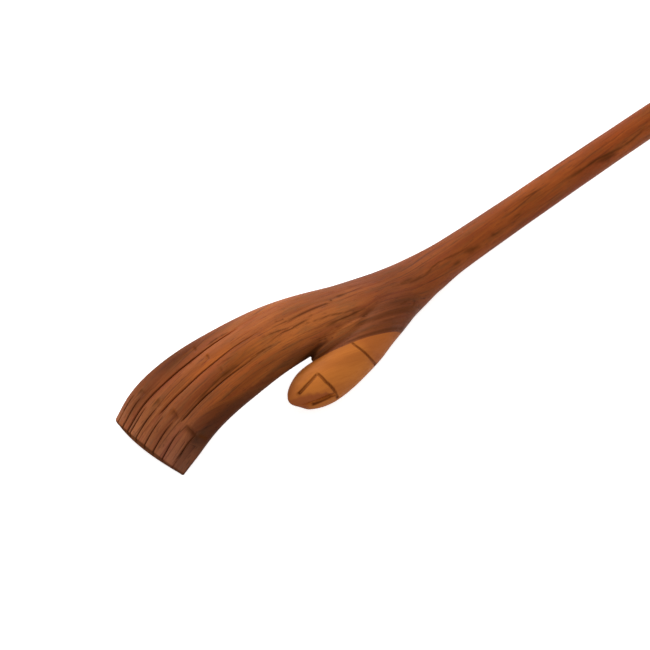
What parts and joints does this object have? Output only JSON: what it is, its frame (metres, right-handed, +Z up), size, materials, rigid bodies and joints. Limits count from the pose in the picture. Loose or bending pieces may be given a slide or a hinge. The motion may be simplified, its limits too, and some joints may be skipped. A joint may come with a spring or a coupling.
{
  "type": "back scratcher",
  "caption": "Carved wooden back scratcher: a right hand, palm down, with curled fingers, grooves and nails, a pale thumb and a slim round handle with a hanging hole.",
  "frame": {"origin": "middle of the footprint, on the surface that the fingertips and the butt of the handle rest on", "axes": "+X from the fingertips to the butt of the handle, +Z up through the back of the hand, -Y the thumb's side"},
  "size_m": [0.4256, 0.0656, 0.0298],
  "materials": {
    "heartwood": "oiled satin, dark grain streaks",
    "pale_wood": "oiled satin, fine plain grain"
  },
  "bodies": {
    "root": {"hand_and_handle": "heartwood", "thumb": "pale_wood"}
  },
  "joints": []
}
